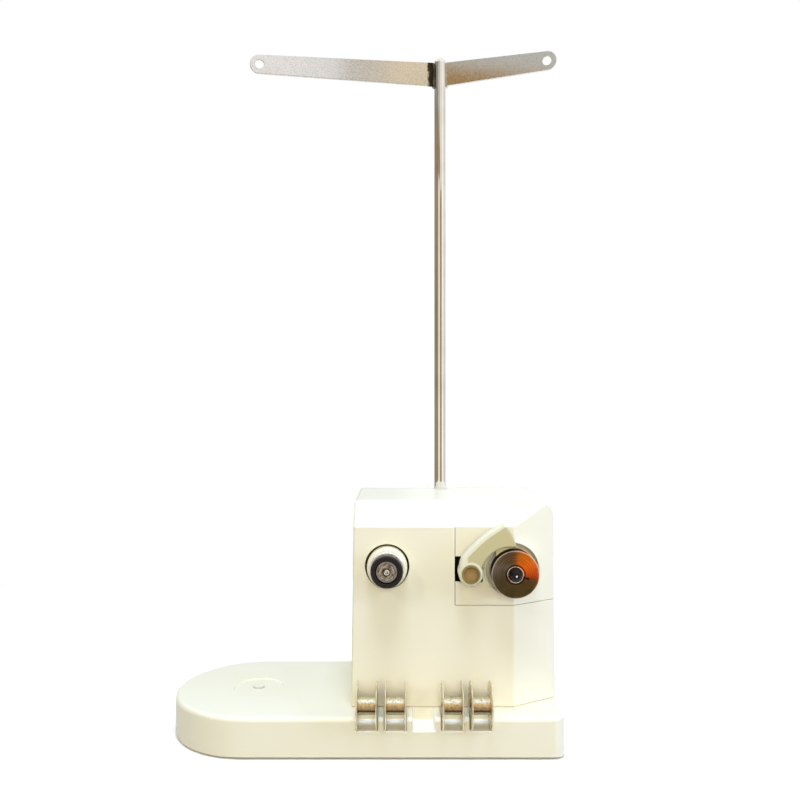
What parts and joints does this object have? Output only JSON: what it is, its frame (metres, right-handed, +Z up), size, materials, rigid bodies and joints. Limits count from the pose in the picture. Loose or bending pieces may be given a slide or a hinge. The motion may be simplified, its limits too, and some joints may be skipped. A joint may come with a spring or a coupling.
{
  "type": "bobbin winder",
  "caption": "Bobbin winder: low base with a round cone end and bobbin slots, a box housing with spindle, stop lever and thread tension unit, and a tall mast with a two-armed thread guide.",
  "frame": {"origin": "on the table, under the middle of the base", "axes": "+X towards the spindle, to the right seen from the front, +Y to the back, +Z up along the mast"},
  "size_m": [0.182, 0.0868, 0.33],
  "materials": {
    "ivory_plastic": "smooth moulded ivory, slight gloss",
    "lever_plastic": "smooth moulded cream",
    "grey_sheet_steel": "plain sheet",
    "rubber": "matt",
    "zinc_steel": "zinc plated",
    "dark_steel": "darkened",
    "chrome": "polished plate",
    "nickel_bobbin": "pressed and nickel plated",
    "brass": "turned",
    "tinned_brass": "tinned",
    "black_plastic": "fine grain",
    "red_plastic": "smooth",
    "circuit_board": "solder mask",
    "board_components": "moulded"
  },
  "bodies": {
    "housing": {"base_shell": "ivory_plastic", "housing_cover": "ivory_plastic", "winder_panel": "ivory_plastic", "tension_cap": "ivory_plastic", "bottom_plate": "grey_sheet_steel", "drive_frame": "grey_sheet_steel", "rubber_sole": "rubber", "drive_belt": "rubber", "lever_washer": "rubber", "base_screws": "zinc_steel", "cover_screws": "zinc_steel", "panel_screws": "zinc_steel", "frame_screws": "zinc_steel", "motor_screws": "zinc_steel", "motor_can": "zinc_steel", "switch_screws": "zinc_steel", "tension_back_nut": "zinc_steel", "board_spacers": "zinc_steel", "inlet_nut": "zinc_steel", "tension_spring": "zinc_steel", "tension_stud": "chrome", "rear_tension_disc": "chrome", "front_bush": "brass", "rear_bush": "brass", "lever_bush": "brass", "mast_socket": "brass", "inlet_pin": "brass", "motor_terminals": "tinned_brass", "switch_terminals": "tinned_brass", "motor_cap": "black_plastic", "switch_body": "black_plastic", "power_inlet": "black_plastic", "control_board": "circuit_board", "board_parts": "board_components"},
    "spindle": {"spindle_shaft": "dark_steel", "bobbin_seat": "zinc_steel", "spindle_pulley": "black_plastic", "spindle_clip": "zinc_steel"},
    "bobbin": {"winding_bobbin": "nickel_bobbin"},
    "rotor": {"motor_shaft": "zinc_steel", "motor_pulley": "black_plastic"},
    "lever": {"stop_lever": "lever_plastic", "lever_screw": "brass", "lever_shaft": "zinc_steel", "lever_crank": "black_plastic", "lever_clip": "zinc_steel"},
    "switch_button": {"switch_plunger": "red_plastic"},
    "tension_disc": {"front_tension_disc": "chrome"},
    "tension_dial": {"tension_knob": "black_plastic", "tension_nut": "chrome"},
    "thread_guide": {"mast": "chrome", "guide_arm": "chrome", "arm_rivet": "dark_steel", "mast_collar": "zinc_steel"},
    "spare_1": {"spare_bobbin_1": "nickel_bobbin"},
    "spare_2": {"spare_bobbin_2": "nickel_bobbin"},
    "spare_3": {"spare_bobbin_3": "nickel_bobbin"},
    "spare_4": {"spare_bobbin_4": "nickel_bobbin"}
  },
  "joints": [
    {"name": "spindle_spin", "type": "hinge", "parent": "housing", "child": "spindle", "pos_m": [0.0666, -0.028, 0.079], "axis": [0, 1, 0], "continuous": true},
    {"name": "bobbin_pull_off", "type": "slide", "parent": "spindle", "child": "bobbin", "axis": [0, -1, 0], "range_m": [0, 0.016]},
    {"name": "motor_spin", "type": "hinge", "parent": "housing", "child": "rotor", "pos_m": [0.048, -0.008, 0.044], "axis": [0, 1, 0], "continuous": true},
    {"name": "lever_swing", "type": "hinge", "parent": "housing", "child": "lever", "pos_m": [0.0476, -0.03, 0.079], "axis": [0, 1, 0], "range_deg": [0, 14]},
    {"name": "switch_press", "type": "slide", "parent": "housing", "child": "switch_button", "axis": [0, 0, 1], "range_m": [0, 0.0012]},
    {"name": "tension_disc_open", "type": "slide", "parent": "housing", "child": "tension_disc", "axis": [0, -1, 0], "range_m": [0, 0.0004], "stiffness_N_per_m": 300, "deforming": ["tension_spring"]},
    {"name": "tension_turn", "type": "hinge", "parent": "housing", "child": "tension_dial", "pos_m": [0.0113, -0.036, 0.0803], "axis": [0, -1, 0], "range_deg": [-180, 180]},
    {"name": "mast_swivel", "type": "hinge", "parent": "housing", "child": "thread_guide", "pos_m": [0.0377, 0.0315, 0.1], "axis": [0, 0, 1], "continuous": true},
    {"name": "spare_1_lift", "type": "slide", "parent": "housing", "child": "spare_1", "axis": [0, 0, 1], "range_m": [0, 0.03]},
    {"name": "spare_2_lift", "type": "slide", "parent": "housing", "child": "spare_2", "axis": [0, 0, 1], "range_m": [0, 0.03]},
    {"name": "spare_3_lift", "type": "slide", "parent": "housing", "child": "spare_3", "axis": [0, 0, 1], "range_m": [0, 0.03]},
    {"name": "spare_4_lift", "type": "slide", "parent": "housing", "child": "spare_4", "axis": [0, 0, 1], "range_m": [0, 0.03]}
  ],
  "couplings": [
    {"joint": "motor_spin", "follows": "spindle_spin", "ratio": 2},
    {"joint": "switch_press", "follows": "lever_swing", "m_per_rad": 0.0049}
  ]
}
